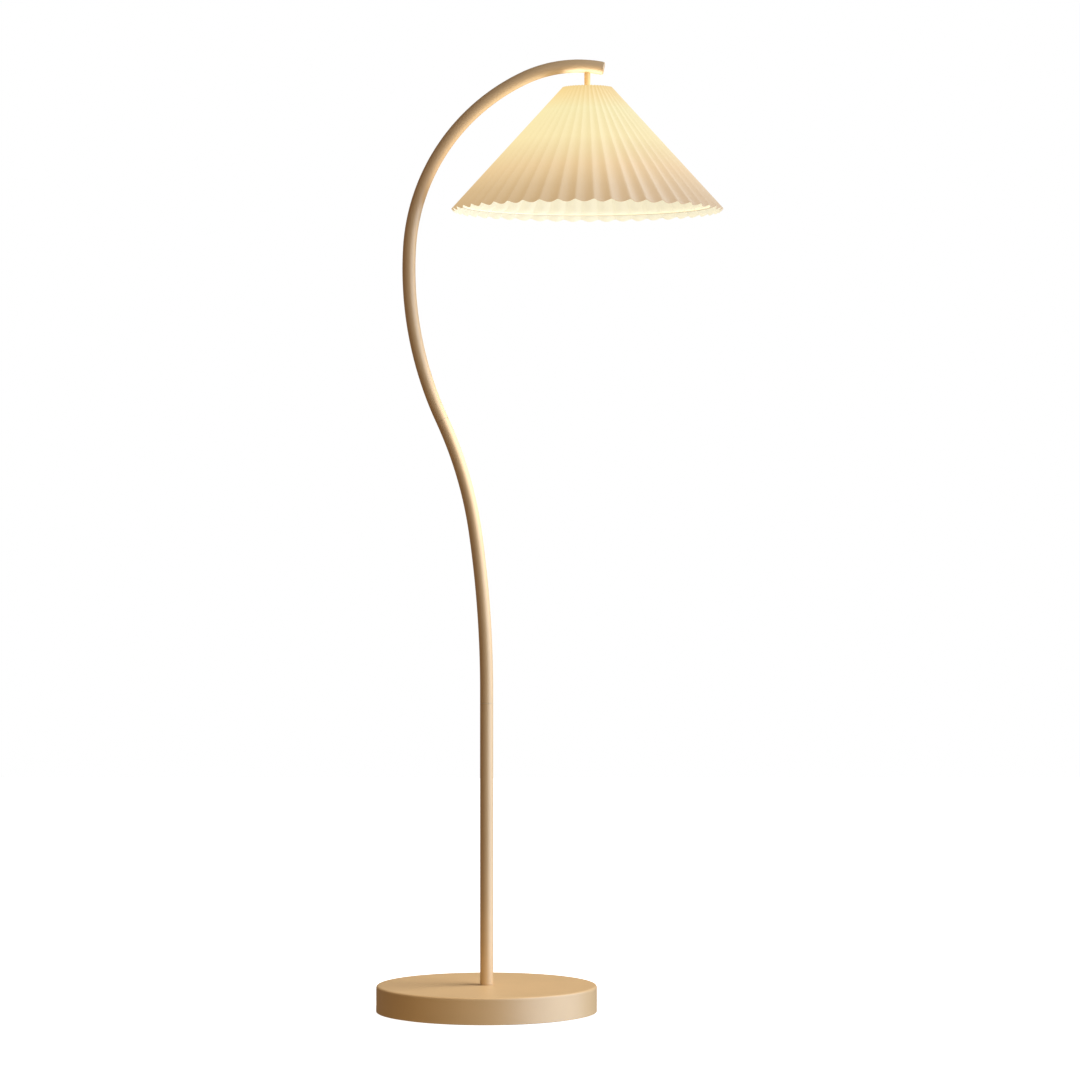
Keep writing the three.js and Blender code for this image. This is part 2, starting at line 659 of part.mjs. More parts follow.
function bulbCap() {
  const inner = BULB_CAP_RADIUS - 0.9;
  return turned([
    [inner, -27],
    [BULB_CAP_RADIUS, -27],
    [BULB_CAP_RADIUS, -7],
    [10, -5],
    [9, -5],
    [9, -6],
    [inner, -8],
    [inner, -27],
  ], 20);
}

function bulb() {
  const group = groupOf(
    mesh("bulb_globe", bulbGlobe(), OPAL_GLASS),
    mesh("bulb_cap", bulbCap(), ZINC_STEEL),
    mesh("bulb_insulator", turned([[0, -4.7], [9, -4.7], [5, -1.8], [0, -1.8]], 20), BLACK_PLASTIC),
    mesh("bulb_contact", disc(4, -1.5, 0, 12), BRASS),
  );
  group.position.set(STEM_X, 0, BULB_TIP);
  return group;
}

const lamp = groupOf(base(), pole(), stemAndLampholder(), shade(), bulb());
lamp.name = "arc_floor_lamp";

export default lamp;
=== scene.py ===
import json
import math

import bpy
import numpy as np
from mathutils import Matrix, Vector


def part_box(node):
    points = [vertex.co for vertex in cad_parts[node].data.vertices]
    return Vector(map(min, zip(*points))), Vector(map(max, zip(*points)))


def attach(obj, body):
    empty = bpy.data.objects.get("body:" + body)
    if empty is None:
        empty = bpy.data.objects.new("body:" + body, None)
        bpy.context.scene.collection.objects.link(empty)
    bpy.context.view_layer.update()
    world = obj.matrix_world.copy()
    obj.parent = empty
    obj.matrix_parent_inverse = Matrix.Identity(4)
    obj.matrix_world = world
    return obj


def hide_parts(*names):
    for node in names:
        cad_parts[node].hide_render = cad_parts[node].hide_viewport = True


# Looks of the arc floor lamp. The outer pieces are rebuilt finely in place of the faceted frame's, to
# dimensions in millimetres here and in metres in the meshes. Pieces that are closed away inside keep the
# frame's own shapes and get their materials.

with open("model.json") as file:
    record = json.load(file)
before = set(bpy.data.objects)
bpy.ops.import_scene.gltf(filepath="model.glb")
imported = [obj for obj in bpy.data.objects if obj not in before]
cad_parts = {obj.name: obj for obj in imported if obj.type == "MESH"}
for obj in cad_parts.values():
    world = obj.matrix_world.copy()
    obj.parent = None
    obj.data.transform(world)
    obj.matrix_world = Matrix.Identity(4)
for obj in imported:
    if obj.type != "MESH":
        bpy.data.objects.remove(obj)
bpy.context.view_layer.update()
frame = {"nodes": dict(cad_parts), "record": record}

MM = 0.001

# ---- Dimensions in millimetres, the frame's where it has them and no note says otherwise -----------------
BASE_RADIUS = 186.0
BASE_BOTTOM = 1.2
BASE_TOP = 45.5
BASE_EDGE_ROUND = 4.5
COVER_WALL = 1.5
PAD_RADIUS = 180.0
PAD_THICKNESS = 2.5
GLAND_HEIGHT = 13.0
GLAND_HOLE_RADIUS = 6.0
THREAD_HOLE_RADIUS = 5.3

TUBE_RADIUS = 11.0
TUBE_BORE_RADIUS = 9.5
POLE_FOOT = 45.8
STRAIGHT_TOP = 539.5
POLE_BENDS = (  # radius, turn in degrees, positive leans away from the shade
    (1900.0, 8.1),
    (680.0, 16.7),
    (605.0, -28.1),
    (338.0, -61.1),
    (215.0, -36.4),
)
LOWER_SEAM = 474.0  # lengths along the pole from its foot
UPPER_SEAM = 960.0
SEAM_GAP = 0.3
END_CAP_THICKNESS = 3.2
END_CAP_RIM = 0.6  # the height of its straight rim, from the tube's end
END_CAP_ROUND = 6.0  # softer than the frame's
END_CAP_PLUG = 8.0  # how far it reaches into the tube
TOUCHING = 0.3  # the gap that touching pieces keep

STEM_X = 169.5
STEM_BOTTOM = 1537.0
STEM_RADIUS = 5.0
STEM_BORE_RADIUS = 3.6
CAP_TOP = 1549.0
FLANGE_TOP = 1527.7
FLANGE_BOTTOM = 1524.0
FLANGE_RADIUS = 22.0
SKIRT_RADIUS = 19.5
SKIRT_BORE_RADIUS = 16.5
SKIRT_BOTTOM = 1485.0
SKIRT_PITCH = 2.5
E27_PITCH = 3.6
INSULATOR_TOP = 1519.7
SHELL_TOP = 1511.7
SPIDER_TOP = 1523.7
SPIDER_BOTTOM = 1522.2

SHADE_TOP = 1556.0
SHADE_HEM = 1351.0
SHADE_TOP_RADIUS = 41.5
SHADE_HEM_RADIUS = 229.0
PLEAT_COUNT = 48
FIRST_RIDGE = 2.1  # degrees from +X
PLEAT_DEPTH_AT_HEM = 6.5
CAD_FABRIC_THICKNESS = 1.0
FABRIC_THICKNESS = 0.8  # thinner than the frame's
FOLD_STEPS = 16  # across one pleat
SLANT_STEPS = 18  # from the top edge to the hem
HEM_WIRE_HEIGHT = 6.0  # above the hem
TOP_WIRE_DEPTH = 3.0  # below the top edge
WIRE_RADIUS = 1.5

BULB_TIP = 1509.0
BULB_CAP_RADIUS = 13.05
BULB_RADIUS = 30.0
BULB_LENGTH = 108.0
BULB_CENTRE = BULB_TIP - BULB_LENGTH + BULB_RADIUS


# ---- Materials ----------------------------------------------------------------------------------------
def new_material(name):
    """A new material, its node tree and its Principled shader."""
    material = bpy.data.materials.new(name)
    material.use_nodes = True
    tree = material.node_tree
    shader = tree.nodes["Principled BSDF"]
    return material, tree, shader


def node(tree, kind, values=None, **settings):
    """A node with values for its sockets and settings for its own properties."""
    made = tree.nodes.new(kind)
    for key, value in settings.items():
        setattr(made, key, value)
    for key, value in (values or {}).items():
        made.inputs[key].default_value = value
    return made


def ramp(tree, factor, stops):
    """A colour ramp with (position, (r, g, b)) stops."""
    made = tree.nodes.new("ShaderNodeValToRGB")
    elements = made.color_ramp.elements
    while len(elements) < len(stops):
        elements.new(1.0)
    for element, (position, colour) in zip(elements, stops):
        element.position = position
        element.color = (*colour, 1.0)
    tree.links.new(factor, made.inputs["Fac"])
    return made.outputs["Color"]


def between(tree, factor, low, high, low_from=0.0, high_from=1.0):
    """A number from low to high as the factor goes from low_from to high_from."""
    made = node(tree, "ShaderNodeMapRange")
    for key, value in zip(("From Min", "From Max", "To Min", "To Max"), (low_from, high_from, low, high)):
        made.inputs[key].default_value = value
    tree.links.new(factor, made.inputs["Value"])
    return made.outputs["Result"]


def height_share(tree, place, low, high):
    """0 to 1 from the low height to the high one, both in millimetres."""
    parts = node(tree, "ShaderNodeSeparateXYZ")
    tree.links.new(place, parts.inputs["Vector"])
    return between(tree, parts.outputs["Z"], 0, 1, low * MM, high * MM)


def noise(tree, vector, scale, detail=2.0):
    made = node(tree, "ShaderNodeTexNoise", {"Scale": scale, "Detail": detail, "Roughness": 0.5})
    tree.links.new(vector, made.inputs["Vector"])
    return made.outputs["Fac"]


def calculate(tree, operation, first, second):
    """A sum or a product of two numbers, each a socket or a constant."""
    made = node(tree, "ShaderNodeMath", operation=operation)
    for socket, value in zip(made.inputs, (first, second)):
        if isinstance(value, (int, float)):
            socket.default_value = value
        else:
            tree.links.new(value, socket)
    return made.outputs["Value"]


def mixed(tree, blend, first, second):
    """Two colours added or multiplied."""
    made = node(tree, "ShaderNodeMix", data_type="RGBA", blend_type=blend)
    made.inputs["Factor"].default_value = 1.0
    tree.links.new(first, made.inputs["A"])
    tree.links.new(second, made.inputs["B"])
    return made.outputs["Result"]


def bump(tree, shader, height, depth):
    """Relief of the given depth in metres on the shader's normal."""
    made = node(tree, "ShaderNodeBump", {"Strength": 1.0, "Distance": depth})
    tree.links.new(height, made.inputs["Height"])
    tree.links.new(made.outputs["Normal"], shader.inputs["Normal"])


def scaled(colour, factor):
    return tuple(min(1.0, channel * factor) for channel in colour)


def greys(*stops):
    return [(position, (level, level, level)) for position, level in stops]


def grained_material(
    name, colour, spread, patch, roughness, grain, depth, metallic=0.0, specular=0.5, glow=None
):
    """Colour that drifts by the spread over patches, roughness between two limits, and a fine
    relief of grains with a depth in metres. The patch and the grain are noise scales: the larger,
    the finer. A glow is painted light: an emission colour that stands for the bulb's light that
    the piece catches."""
    material, tree, shader = new_material(name)
    place = node(tree, "ShaderNodeTexCoord").outputs["Object"]
    drift = noise(tree, place, patch, 3.0)
    stops = [(0.3, scaled(colour, 1 - spread)), (0.7, scaled(colour, 1 + spread))]
    tree.links.new(ramp(tree, drift, stops), shader.inputs["Base Color"])
    fine = noise(tree, place, grain, 3.0)
    tree.links.new(between(tree, fine, *roughness, 0.25, 0.75), shader.inputs["Roughness"])
    bump(tree, shader, fine, depth)
    shader.inputs["Metallic"].default_value = metallic
    shader.inputs["Specular IOR Level"].default_value = specular
    if glow:
        shader.inputs["Emission Color"].default_value = (*glow, 1.0)
        shader.inputs["Emission Strength"].default_value = 1.0
    return material


SAND_PAINT = grained_material(
    "sand_powder_coat", (0.66, 0.45, 0.235), 0.02, 22, (0.38, 0.48), 1100, 0.000004, specular=1.0
)
# The stem's paint with a painted glow: emission that stands for the bulb's light coming out of the shade's
# top.
SAND_PAINT_PAINTED_GLOW = grained_material(
    "sand_powder_coat_painted_glow", (0.66, 0.45, 0.2), 0.02, 22, (0.4, 0.5), 1100, 0.000003, glow=(0.24, 0.13, 0.04)
)
ZINC_STEEL = grained_material(
    "zinc_plate", (0.66, 0.68, 0.7), 0.08, 60, (0.28, 0.45), 1400, 0.00002, metallic=1.0
)
CAST_IRON = grained_material(
    "cast_iron_skin", (0.075, 0.07, 0.068), 0.25, 45, (0.65, 0.9), 320, 0.0004, metallic=0.3
)
BRASS = grained_material(
    "drawn_brass", (0.78, 0.58, 0.28), 0.08, 70, (0.22, 0.4), 1500, 0.00001, metallic=1.0
)
FOAM = grained_material("closed_cell_foam", (0.7, 0.64, 0.55), 0.05, 90, (0.85, 0.98), 1600, 0.0003)
BLACK_PLASTIC = grained_material(
    "black_moulding", (0.02, 0.02, 0.021), 0.15, 80, (0.4, 0.55), 2200, 0.00003
)
WHITE_PLASTIC = grained_material("white_moulding", (0.82, 0.79, 0.72), 0.02, 60, (0.28, 0.4), 1800, 0.00002)
CERAMIC = grained_material("lampholder_ceramic", (0.86, 0.84, 0.79), 0.03, 240, (0.35, 0.6), 1300, 0.00004)
LEAD_JACKET = grained_material("lead_jacket_pvc", (0.62, 0.53, 0.39), 0.04, 40, (0.45, 0.6), 1500, 0.00003)
# White wire with a painted glow: emission that stands for the bulb's light on the shade's wires, so that
# their shaded sides show as bright as the fabric.
WIRE_PAINTED_GLOW = grained_material(
    "white_wire_painted_glow", (0.84, 0.8, 0.72), 0.02, 50, (0.3, 0.42), 1200, 0.00002, glow=(0.3, 0.28, 0.21)
)


# The bulb's light on the glass, from the globe's end up to its neck.
BULB_GLOW = [
    (0.0, (0.92, 0.72, 0.4)),
    (0.55, (0.98, 0.8, 0.5)),
    (0.8, (0.85, 0.62, 0.33)),
    (1.0, (0.4, 0.26, 0.13)),
]


def opal_glass():
    """White opal glass, lit from inside: brightest over the globe and dimmer in the neck."""
    material, tree, shader = new_material("opal_glass_lit")
    place = node(tree, "ShaderNodeTexCoord").outputs["Object"]
    cloud = noise(tree, place, 60)
    stops = [(0.35, (0.9, 0.86, 0.78)), (0.65, (0.94, 0.9, 0.82))]
    tree.links.new(ramp(tree, cloud, stops), shader.inputs["Base Color"])
    tree.links.new(between(tree, cloud, 0.08, 0.16, 0.3, 0.7), shader.inputs["Roughness"])
    up = height_share(tree, place, BULB_TIP - BULB_LENGTH, BULB_TIP - 25)
    tree.links.new(ramp(tree, up, BULB_GLOW), shader.inputs["Emission Color"])
    shader.inputs["Emission Strength"].default_value = 1.0
    shader.inputs["Coat Weight"].default_value = 0.3
    material.cycles.emission_sampling = "NONE"
    return material


OPAL_GLASS = opal_glass()

# The bulb's light through the fabric, painted on as its glow, from the hem to the top edge.
OUTER_GLOW = [
    (0.0, (0.465, 0.295, 0.14)),
    (0.12, (0.525, 0.345, 0.17)),
    (0.3, (0.69, 0.48, 0.245)),
    (0.55, (0.815, 0.675, 0.355)),
    (0.8, (0.805, 0.7, 0.37)),
    (0.93, (0.81, 0.6, 0.26)),
    (1.0, (0.77, 0.545, 0.205)),
]
# The bulb's light painted on the inside of the fabric as a glow, from the hem to the top edge. It is
# brighter in the lowest band, where the hem wire's shadow falls.
INNER_GLOW = [
    (0.0, (0.76, 0.72, 0.55)),
    (0.03, (0.74, 0.71, 0.54)),
    (0.07, (0.62, 0.595, 0.45)),
    (1.0, (0.68, 0.6, 0.43)),
]
# Painted shade in the outside's colour: the share of the room's light that it takes, from the hem to the
# top edge, lower towards the top where the bulb's light washes it out.
WASHED_OUT = greys((0.0, 1.0), (0.15, 0.95), (0.5, 0.62), (1.0, 0.55))

# The side of the shade that faces the daylight, and two ramps that go round the shade to it from the side
# that faces away: painted shade that darkens the outside's colour on the side away from the window, and
# painted daylight through the fabric, added to its glow.
WINDOW_SIDE = (0.866, -0.5, 0.0)
SHADED_SIDE = greys((0.5, 0.55), (0.75, 0.75), (0.85, 1.0))
DAYLIGHT_THROUGH = [
    (0.0, (0.15, 0.13, 0.08)),
    (0.4, (0.115, 0.105, 0.065)),
    (0.75, (0.065, 0.06, 0.037)),
    (1.0, (0.0, 0.0, 0.0)),
]


def toward_window(tree, place):
    """0 to 1 round the shade, from the side that faces away from the daylight to the side that
    faces it."""
    from_axis = node(tree, "ShaderNodeVectorMath", operation="SUBTRACT")
    from_axis.inputs[1].default_value = (STEM_X * MM, 0.0, 0.0)
    level = node(tree, "ShaderNodeVectorMath", operation="MULTIPLY")
    level.inputs[1].default_value = (1.0, 1.0, 0.0)
    unit = node(tree, "ShaderNodeVectorMath", operation="NORMALIZE")
    facing = node(tree, "ShaderNodeVectorMath", operation="DOT_PRODUCT")
    facing.inputs[1].default_value = WINDOW_SIDE
    tree.links.new(place, from_axis.inputs[0])
    tree.links.new(from_axis.outputs["Vector"], level.inputs[0])
    tree.links.new(level.outputs["Vector"], unit.inputs[0])
    tree.links.new(unit.outputs["Vector"], facing.inputs[0])
    return between(tree, facing.outputs["Value"], 0, 1, -1, 1)


def woven(tree):
    """The relief of crossing threads and the slubs in them. They follow the flat cut, which the UV
    map holds in metres."""
    cut = node(tree, "ShaderNodeUVMap", uv_map="cut").outputs["UV"]
    threads = []
    slubs = []
    for direction, stretch in (("X", (900.0, 60.0, 1.0)), ("Y", (60.0, 900.0, 1.0))):
        wave = node(tree, "ShaderNodeTexWave", {"Scale": 480.0}, bands_direction=direction)
        mapping = node(tree, "ShaderNodeMapping", {"Scale": stretch})
        tree.links.new(cut, wave.inputs["Vector"])
        tree.links.new(cut, mapping.inputs["Vector"])
        threads.append(wave.outputs["Fac"])
        slubs.append(noise(tree, mapping.outputs["Vector"], 1.0, 1.0))
    slub = calculate(tree, "ADD", *slubs)
    weave = calculate(tree, "MULTIPLY", *threads)
    return calculate(tree, "ADD", weave, calculate(tree, "MULTIPLY", slub, 0.6)), slub


def shade_fabric(name, colour, glow, outside):
    """Woven fabric lit from behind, its light painted on as a glow. The bulb's painted light through
    it depends on the height above the hem. The outside also has painted daylight that comes
    through it, and painted shade in its colour: it takes less of the room's light where the bulb
    washes it out and on its shaded side."""
    material, tree, shader = new_material(name)
    place = node(tree, "ShaderNodeTexCoord").outputs["Object"]
    relief, slub = woven(tree)
    bump(tree, shader, relief, 0.00012)
    drift = calculate(tree, "ADD", calculate(tree, "MULTIPLY", slub, 0.35), noise(tree, place, 14))
    thread_colour = ramp(tree, drift, [(0.55, scaled(colour, 0.97)), (1.0, scaled(colour, 1.03))])
    tree.links.new(between(tree, slub, 0.82, 0.95, 0.7, 1.3), shader.inputs["Roughness"])
    shader.inputs["Sheen Weight"].default_value = 0.12
    shader.inputs["Specular IOR Level"].default_value = 0.25
    up = height_share(tree, place, SHADE_HEM, SHADE_TOP)
    light = ramp(tree, up, glow)
    if outside:
        # Painted shade: the colour gets darker towards the top and on the side away from the window.
        # Painted daylight is added to the glow.
        side = toward_window(tree, place)
        thread_colour = mixed(tree, "MULTIPLY", thread_colour, ramp(tree, up, WASHED_OUT))
        thread_colour = mixed(tree, "MULTIPLY", thread_colour, ramp(tree, side, SHADED_SIDE))
        light = mixed(tree, "ADD", light, ramp(tree, side, DAYLIGHT_THROUGH))
    tree.links.new(thread_colour, shader.inputs["Base Color"])
    tree.links.new(light, shader.inputs["Emission Color"])
    shader.inputs["Emission Strength"].default_value = 1.0
    material.cycles.emission_sampling = "NONE"
    return material


FABRIC_OUTSIDE = shade_fabric("pleated_fabric_outside", (0.28, 0.27, 0.235), OUTER_GLOW, True)
FABRIC_INSIDE = shade_fabric("pleated_fabric_inside", (0.42, 0.4, 0.35), INNER_GLOW, False)


# ---- Mesh helpers -------------------------------------------------------------------------------------
def eased(corners, steps=4):
    """Points of a profile of (radius, height, round) corners: a corner with a round is drawn as a
    curve, with one more point on each side that keeps the flats flat."""
    points = []
    for i, corner in enumerate(corners):
        here = np.array(corner[:2], float)
        if len(corner) == 2:
            points.append(here)
            continue
        back = np.array(corners[i - 1][:2], float) - here
        on = np.array(corners[(i + 1) % len(corners)][:2], float) - here
        reach = min(corner[2], 0.45 * np.linalg.norm(back), 0.45 * np.linalg.norm(on))
        back, on = back / np.linalg.norm(back) * reach, on / np.linalg.norm(on) * reach
        points.append(here + back * 1.08)
        points += [here + (1 - t) ** 2 * back + t**2 * on for t in np.linspace(0, 1, steps + 1)]
        points.append(here + on * 1.08)
    return points


def filled_in(points, spacing):
    """The same closed line with extra points, so that no stretch is longer than the spacing."""
    made = []
    for here, after in zip(points, points[1:] + points[:1]):
        count = max(1, math.ceil(np.linalg.norm(after - here) / spacing))
        made += [here + (after - here) * k / count for k in range(count)]
    return made


def turned_surface(profile, segments, place):
    """Points and faces of a profile turned about an axis. place(radius, turn, height) gives a
    point. A profile that starts on the axis also ends on it, and any other one closes on itself."""
    on_axis = profile[0][0] < 1e-6
    turns = [2 * math.pi * j / segments for j in range(segments)]
    points, rows = [], []
    for radius, height in profile:
        if radius < 1e-6:
            points.append(place(0.0, 0.0, height))
            rows.append([len(points) - 1] * segments)
        else:
            rows.append(list(range(len(points), len(points) + segments)))
            points += [place(radius, turn, height) for turn in turns]
    pairs = list(zip(rows, rows[1:] + ([] if on_axis else rows[:1])))
    faces = []
    for low, high in pairs:
        for j in range(segments):
            k = (j + 1) % segments
            corners = [low[j], low[k], high[k], high[j]]
            face = [c for i, c in enumerate(corners) if c != corners[i - 1]]
            if len(face) > 2:
                faces.append(face)
    return points, faces


def add_piece(name, points, faces, material, body, slot, nodes, crease=40):
    """A smooth piece, in millimetres, that rides on a body and stands for the named nodes of the
    frame."""
    mesh = bpy.data.meshes.new(name)
    mesh.from_pydata([tuple(c * MM for c in point) for point in points], [], faces)
    mesh.shade_smooth()
    mesh.set_sharp_from_angle(angle=math.radians(crease))
    mesh.materials.append(material)
    piece = bpy.data.objects.new(name, mesh)
    bpy.context.scene.collection.objects.link(piece)
    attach(piece, body)
    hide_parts(*nodes)
    return piece


def upright(axis_x=0.0, relief=None):
    """Places a turned point about a vertical axis. relief(radius, turn, height) may change the
    radius."""

    def place(radius, turn, height):
        if relief:
            radius = relief(radius, turn, height)
        return (axis_x + radius * math.cos(turn), radius * math.sin(turn), height)

    return place


def tube_along(path, radius, segments, closed=False):
    """Points and faces of a round wire along a path of points, with rounded ends if it is open."""
    path = [Vector(p) for p in path]
    stations = []
    for i, here in enumerate(path):
        before = path[i - 1] if closed or i else here
        after = path[(i + 1) % len(path)] if closed or i < len(path) - 1 else here
        stations.append((here, (after - before).normalized(), radius))
    if not closed:
        start, end = stations[0], stations[-1]
        for share in (0.5, 0.85, 1.0):
            size = radius * math.sqrt(1.0001 - share**2)
            stations.insert(0, (start[0] - start[1] * radius * share, start[1], size))
            stations.append((end[0] + end[1] * radius * share, end[1], size))
    points, faces = [], []
    for here, along, size in stations:
        side = along.cross(Vector((0, 0, 1)))
        side = side.normalized() if side.length > 1e-6 else Vector((1, 0, 0))
        over = side.cross(along)
        for j in range(segments):
            turn = 2 * math.pi * j / segments
            points.append(here + (side * math.cos(turn) + over * math.sin(turn)) * size)
    rows = len(stations)
    for i in range(rows if closed else rows - 1):
        for j in range(segments):
            a, b = i * segments, ((i + 1) % rows) * segments
            k = (j + 1) % segments
            faces.append([a + j, b + j, b + k, a + k])
    if not closed:
        faces.append(list(range(segments)))
        faces.append(list(range((rows - 1) * segments, rows * segments))[::-1])
    return [tuple(p) for p in points], faces


def merged(*shapes):
    points, faces = [], []
    for more_points, more_faces in shapes:
        faces += [[c + len(points) for c in face] for face in more_faces]
        points += more_points
    return points, faces


# ---- The pole's centreline ----------------------------------------------------------------------------
def bend_length(bend):
    return bend[0] * math.radians(abs(bend[1]))


POLE_LENGTH = STRAIGHT_TOP - POLE_FOOT + sum(bend_length(bend) for bend in POLE_BENDS)


def pole_at(length):
    """The centre point (x, z) and the heading in degrees at a length from the foot. It goes on
    straight past the arm's end."""
    straight = STRAIGHT_TOP - POLE_FOOT
    if length <= straight:
        return 0.0, POLE_FOOT + length, 90.0
    x, z, heading, left = 0.0, STRAIGHT_TOP, 90.0, length - straight
    for bend in POLE_BENDS:
        part = min(1.0, left / bend_length(bend))
        signed = math.copysign(bend[0], bend[1])
        after = heading + bend[1] * part
        x += signed * (math.sin(math.radians(after)) - math.sin(math.radians(heading)))
        z -= signed * (math.cos(math.radians(after)) - math.cos(math.radians(heading)))
        heading = after
        left -= bend_length(bend) * part
        if left <= 1e-9:
            return x, z, heading
    return x + left * math.cos(math.radians(heading)), z + left * math.sin(math.radians(heading)), heading


def on_pole(radius, turn, length):
    """Places a turned point about the pole's centreline."""
    x, z, heading = pole_at(length)
    side = radius * math.cos(turn)
    along = math.radians(heading)
    return (x + side * math.sin(along), radius * math.sin(turn), z - side * math.cos(along))


# ---- Base ---------------------------------------------------------------------------------------------
def build_base():
    inside = BASE_RADIUS - COVER_WALL
    underside = BASE_TOP - COVER_WALL
    cover = [
        (BASE_RADIUS, BASE_BOTTOM, 0.5),
        (BASE_RADIUS, BASE_TOP, BASE_EDGE_ROUND),
        (THREAD_HOLE_RADIUS, BASE_TOP, 0.3),
        (THREAD_HOLE_RADIUS, underside, 0.3),
        (inside, underside, BASE_EDGE_ROUND - COVER_WALL),
        (inside, BASE_BOTTOM, 0.5),
    ]
    shape = turned_surface(eased(cover, 8), 192, upright())
    piece = add_piece("base_cover_spun", *shape, SAND_PAINT, "stand", "sand_paint", ["base_cover"])
    drill(piece, GLAND_HOLE_RADIUS)
    pad = [(0, 0), (PAD_RADIUS, 0, 0.6), (PAD_RADIUS, PAD_THICKNESS, 0.6), (0, PAD_THICKNESS)]
    shape = turned_surface(eased(pad), 128, upright())
    add_piece("base_foam_pad", *shape, FOAM, "stand", "foam", ["base_pad"])
    build_gland()


def drill(piece, radius):
    """Cuts the gland's hole through the cover's back wall."""

    def place(radius, turn, depth):
        return (radius * math.cos(turn), BASE_RADIUS - depth, GLAND_HEIGHT + radius * math.sin(turn))

    outline = [(0, -20), (radius, -20), (radius, 20), (0, 20)]
    points, faces = turned_surface(outline, 32, place)
    mesh = bpy.data.meshes.new("gland_drill")
    mesh.from_pydata([tuple(c * MM for c in p) for p in points], [], faces)
    tool = bpy.data.objects.new("gland_drill", mesh)
    bpy.context.scene.collection.objects.link(tool)
    cutter = piece.modifiers.new("hole", "BOOLEAN")
    cutter.object = tool
    cutter.operation = "DIFFERENCE"
    bpy.context.view_layer.update()
    evaluated = piece.evaluated_get(bpy.context.evaluated_depsgraph_get())
    drilled = bpy.data.meshes.new_from_object(evaluated)
    piece.modifiers.remove(cutter)
    piece.data = drilled
    bpy.data.objects.remove(tool)


def build_gland():
    """The bush for the mains cord: a groove that holds the cover's wall, and a stepped collar
    outside."""
    outside, inside = BASE_RADIUS + 0.3, BASE_RADIUS - COVER_WALL - 0.6
    corners = [
        (3.5, inside - 3, 0.3),
        (7, inside - 3, 0.4),
        (7, inside, 0.2),
        (5.7, inside, 0.2),
        (5.7, outside, 0.2),
        (8, outside, 0.4),
        (7.6, outside + 0.9, 0.2),
        (6.9, outside + 0.9, 0.2),
        (6.6, outside + 2, 0.5),
        (3.5, outside + 2, 0.5),
    ]

    def place(radius, turn, depth):
        return (-radius * math.cos(turn), depth, GLAND_HEIGHT + radius * math.sin(turn))

    shape = turned_surface(eased(corners, 3), 48, place)
    add_piece("cord_gland_bush", *shape, BLACK_PLASTIC, "stand", "black_plastic", ["cord_gland"])


# ---- Pole ---------------------------------------------------------------------------------------------
def build_tube(name, node_name, start, end):
    """A section of the pole between two lengths from its foot."""
    corners = [
        (TUBE_BORE_RADIUS, start, 0.2),
        (TUBE_RADIUS, start, 0.35),
        (TUBE_RADIUS, end, 0.35),
        (TUBE_BORE_RADIUS, end, 0.2),
    ]
    shape = turned_surface(filled_in(eased(corners, 3), 7.0), 48, on_pole)
    add_piece(name, *shape, SAND_PAINT, "stand", "sand_paint", [node_name])


def build_pole():
    build_tube("pole_lower_tube", "pole_lower", 0.0, LOWER_SEAM - SEAM_GAP / 2)
    build_tube("pole_middle_tube", "pole_middle", LOWER_SEAM + SEAM_GAP / 2, UPPER_SEAM - SEAM_GAP / 2)
    build_tube("pole_upper_tube", "pole_upper", UPPER_SEAM + SEAM_GAP / 2, POLE_LENGTH)
    build_end_cap()


def build_end_cap():
    """A plug in the arm's end with a rounded face."""
    plug = TUBE_BORE_RADIUS - 2 * TOUCHING
    corners = [
        (0, POLE_LENGTH - END_CAP_PLUG),
        (plug, POLE_LENGTH - END_CAP_PLUG, 0.4),
        (plug, POLE_LENGTH + TOUCHING),
        (TUBE_RADIUS, POLE_LENGTH + TOUCHING, 0.15),
    ]
    for degrees in range(0, 91, 15):
        turn = math.radians(degrees)
        out = END_CAP_ROUND * math.cos(turn)
        on = (END_CAP_THICKNESS - END_CAP_RIM) * math.sin(turn)
        corners.append((TUBE_RADIUS - END_CAP_ROUND + out, POLE_LENGTH + END_CAP_RIM + on))
    corners.append((0, POLE_LENGTH + END_CAP_THICKNESS))
    shape = turned_surface(eased(corners, 5), 48, on_pole)
    add_piece("arm_end_plug", *shape, SAND_PAINT, "stand", "sand_paint", ["arm_end_cap"])


# ---- Stem and lampholder ------------------------------------------------------------------------------
def build_stem():
    stem_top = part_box("stem_tube")[1].z / MM
    stem = [
        (STEM_BORE_RADIUS, STEM_BOTTOM, 0.2),
        (STEM_RADIUS, STEM_BOTTOM, 0.4),
        (STEM_RADIUS, stem_top, 0.4),
        (STEM_BORE_RADIUS, stem_top, 0.2),
    ]
    shape = turned_surface(eased(stem, 3), 40, upright(STEM_X))
    add_piece("stem_rod", *shape, SAND_PAINT_PAINTED_GLOW, "stand", "sand_paint", ["stem_tube"])


def build_lampholder_dome():
    bottom = FLANGE_TOP + TOUCHING
    dome = [
        (SKIRT_BORE_RADIUS, bottom, 0.3),
        (SKIRT_RADIUS, bottom, 0.4),
        (SKIRT_RADIUS, bottom + 6, 3.0),
        (15, CAP_TOP - 4, 2.0),
        (9, CAP_TOP, 1.5),
        (THREAD_HOLE_RADIUS, CAP_TOP, 0.4),
        (THREAD_HOLE_RADIUS, CAP_TOP - 10, 0.3),
        (10, CAP_TOP - 10, 0.5),
        (SKIRT_BORE_RADIUS, bottom + 6, 1.0),
    ]
    shape = turned_surface(eased(dome, 5), 64, upright(STEM_X))
    add_piece("lampholder_dome", *shape, WHITE_PLASTIC, "stand", "white_plastic", ["lampholder_cap"])


